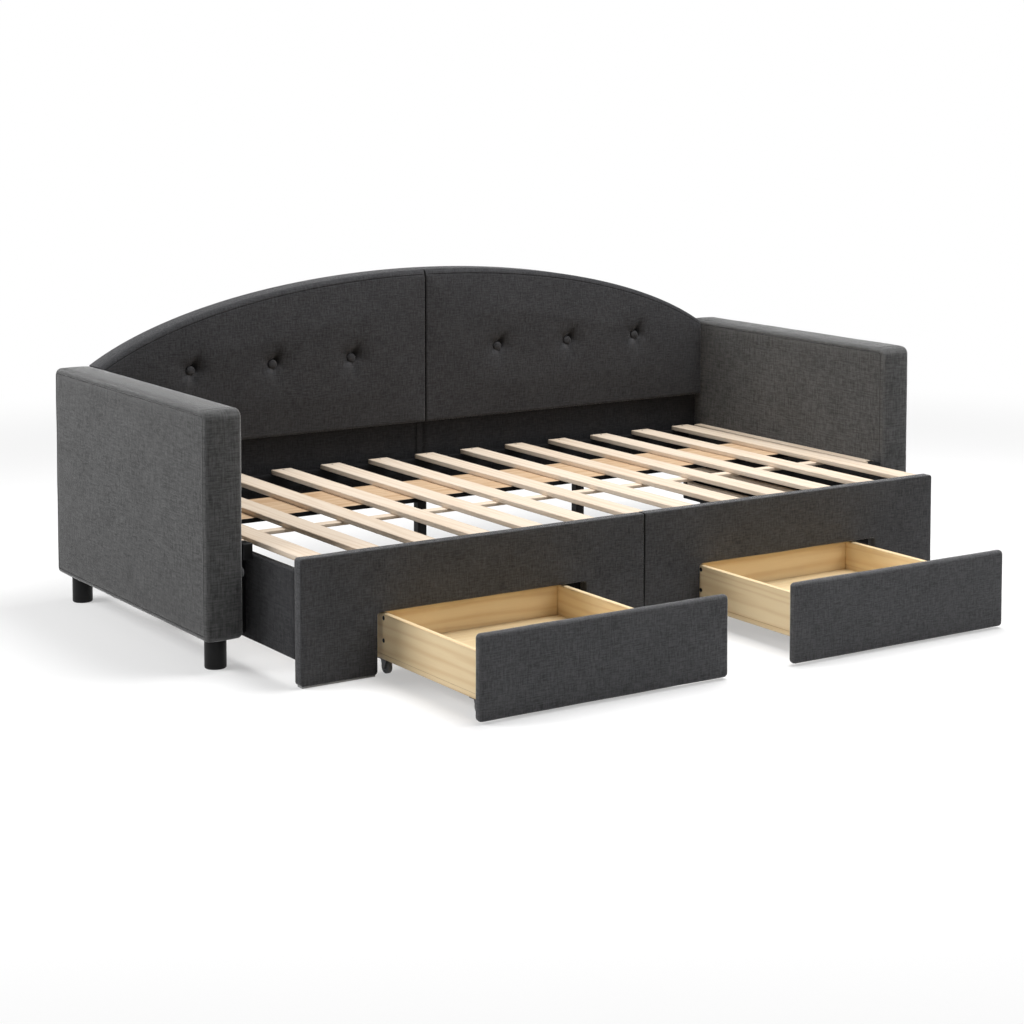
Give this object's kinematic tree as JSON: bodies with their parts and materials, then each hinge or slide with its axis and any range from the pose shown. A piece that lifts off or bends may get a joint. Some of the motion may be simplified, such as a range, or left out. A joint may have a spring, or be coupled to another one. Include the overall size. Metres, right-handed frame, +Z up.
{
  "type": "storage daybed",
  "caption": "Upholstered storage daybed with an arched, buttoned back, slatted deck and rolling drawers pulled out below.",
  "frame": {"origin": "on the floor, under the middle of the footprint with the drawers rolled out as shown", "axes": "+X from the left arm to the right arm, +Y from the open drawers to the back, +Z up"},
  "size_m": [2.11, 1.544, 0.8],
  "materials": {
    "upholstery": "charcoal linen weave",
    "upholstery_shade": "charcoal plain weave",
    "slat_pine": "planed pale pine",
    "drawer_pine": "sanded warm pine",
    "leg_black": "satin black",
    "castor_steel": "satin black",
    "castor_tyre": "matte grey",
    "glide_plastic": "matte"
  },
  "bodies": {
    "base": {"arm_left": "upholstery", "arm_right": "upholstery", "arm_leg_front_left": "leg_black", "arm_leg_rear_left": "leg_black", "arm_leg_front_right": "leg_black", "arm_leg_rear_right": "leg_black", "back_shell_left": "upholstery_shade", "back_shell_right": "upholstery_shade", "back_pad_left": "upholstery", "back_pad_right": "upholstery", "back_button_left_1": "upholstery", "back_button_left_2": "upholstery", "back_button_left_3": "upholstery", "back_button_right_1": "upholstery", "back_button_right_2": "upholstery", "back_button_right_3": "upholstery", "side_panel_left": "upholstery", "side_panel_right": "upholstery", "arm_rail_left": "upholstery_shade", "arm_rail_right": "upholstery_shade", "edge_strip_left": "slat_pine", "edge_strip_right": "slat_pine", "front_panel_left": "upholstery", "front_panel_right": "upholstery", "front_glide_left": "glide_plastic", "front_glide_middle": "glide_plastic", "front_glide_right": "glide_plastic", "deck_rail_front": "slat_pine", "deck_rail_rear": "upholstery_shade", "middle_board": "slat_pine", "centre_leg_left": "leg_black", "centre_leg_right": "leg_black", "slat_set": "slat_pine"},
    "drawer_left": {"drawer_left_front": "upholstery", "drawer_left_side_left": "drawer_pine", "drawer_left_side_right": "drawer_pine", "drawer_left_back": "drawer_pine", "drawer_left_bottom": "drawer_pine", "castor_bracket_left_drawer_front_left": "castor_steel", "castor_bracket_left_drawer_front_right": "castor_steel", "castor_bracket_left_drawer_rear_left": "castor_steel", "castor_bracket_left_drawer_rear_right": "castor_steel"},
    "drawer_right": {"drawer_right_front": "upholstery", "drawer_right_side_left": "drawer_pine", "drawer_right_side_right": "drawer_pine", "drawer_right_back": "drawer_pine", "drawer_right_bottom": "drawer_pine", "castor_bracket_right_drawer_front_left": "castor_steel", "castor_bracket_right_drawer_front_right": "castor_steel", "castor_bracket_right_drawer_rear_left": "castor_steel", "castor_bracket_right_drawer_rear_right": "castor_steel"},
    "wheel_left_drawer_front_left": {"castor_wheel_left_drawer_front_left": "castor_tyre"},
    "wheel_left_drawer_front_right": {"castor_wheel_left_drawer_front_right": "castor_tyre"},
    "wheel_left_drawer_rear_left": {"castor_wheel_left_drawer_rear_left": "castor_tyre"},
    "wheel_left_drawer_rear_right": {"castor_wheel_left_drawer_rear_right": "castor_tyre"},
    "wheel_right_drawer_front_left": {"castor_wheel_right_drawer_front_left": "castor_tyre"},
    "wheel_right_drawer_front_right": {"castor_wheel_right_drawer_front_right": "castor_tyre"},
    "wheel_right_drawer_rear_left": {"castor_wheel_right_drawer_rear_left": "castor_tyre"},
    "wheel_right_drawer_rear_right": {"castor_wheel_right_drawer_rear_right": "castor_tyre"}
  },
  "joints": [
    {"name": "drawer_left_slide", "type": "slide", "parent": "base", "child": "drawer_left", "axis": [0, -1, 0], "range_m": [-0.424, 0]},
    {"name": "drawer_right_slide", "type": "slide", "parent": "base", "child": "drawer_right", "axis": [0, -1, 0], "range_m": [-0.424, 0]},
    {"name": "wheel_left_drawer_front_left_spin", "type": "hinge", "parent": "drawer_left", "child": "wheel_left_drawer_front_left", "pos_m": [-0.706, -0.703, 0.016], "axis": [1, 0, 0], "continuous": true},
    {"name": "wheel_left_drawer_front_right_spin", "type": "hinge", "parent": "drawer_left", "child": "wheel_left_drawer_front_right", "pos_m": [-0.24, -0.703, 0.016], "axis": [1, 0, 0], "continuous": true},
    {"name": "wheel_left_drawer_rear_left_spin", "type": "hinge", "parent": "drawer_left", "child": "wheel_left_drawer_rear_left", "pos_m": [-0.706, -0.308, 0.016], "axis": [1, 0, 0], "continuous": true},
    {"name": "wheel_left_drawer_rear_right_spin", "type": "hinge", "parent": "drawer_left", "child": "wheel_left_drawer_rear_right", "pos_m": [-0.24, -0.308, 0.016], "axis": [1, 0, 0], "continuous": true},
    {"name": "wheel_right_drawer_front_left_spin", "type": "hinge", "parent": "drawer_right", "child": "wheel_right_drawer_front_left", "pos_m": [0.19, -0.703, 0.016], "axis": [1, 0, 0], "continuous": true},
    {"name": "wheel_right_drawer_front_right_spin", "type": "hinge", "parent": "drawer_right", "child": "wheel_right_drawer_front_right", "pos_m": [0.656, -0.703, 0.016], "axis": [1, 0, 0], "continuous": true},
    {"name": "wheel_right_drawer_rear_left_spin", "type": "hinge", "parent": "drawer_right", "child": "wheel_right_drawer_rear_left", "pos_m": [0.19, -0.308, 0.016], "axis": [1, 0, 0], "continuous": true},
    {"name": "wheel_right_drawer_rear_right_spin", "type": "hinge", "parent": "drawer_right", "child": "wheel_right_drawer_rear_right", "pos_m": [0.656, -0.308, 0.016], "axis": [1, 0, 0], "continuous": true}
  ],
  "couplings": [
    {"joint": "wheel_left_drawer_front_left_spin", "follows": "drawer_left_slide", "rad_per_m": 62.5},
    {"joint": "wheel_left_drawer_front_right_spin", "follows": "drawer_left_slide", "rad_per_m": 62.5},
    {"joint": "wheel_left_drawer_rear_left_spin", "follows": "drawer_left_slide", "rad_per_m": 62.5},
    {"joint": "wheel_left_drawer_rear_right_spin", "follows": "drawer_left_slide", "rad_per_m": 62.5},
    {"joint": "wheel_right_drawer_front_left_spin", "follows": "drawer_right_slide", "rad_per_m": 62.5},
    {"joint": "wheel_right_drawer_front_right_spin", "follows": "drawer_right_slide", "rad_per_m": 62.5},
    {"joint": "wheel_right_drawer_rear_left_spin", "follows": "drawer_right_slide", "rad_per_m": 62.5},
    {"joint": "wheel_right_drawer_rear_right_spin", "follows": "drawer_right_slide", "rad_per_m": 62.5}
  ]
}
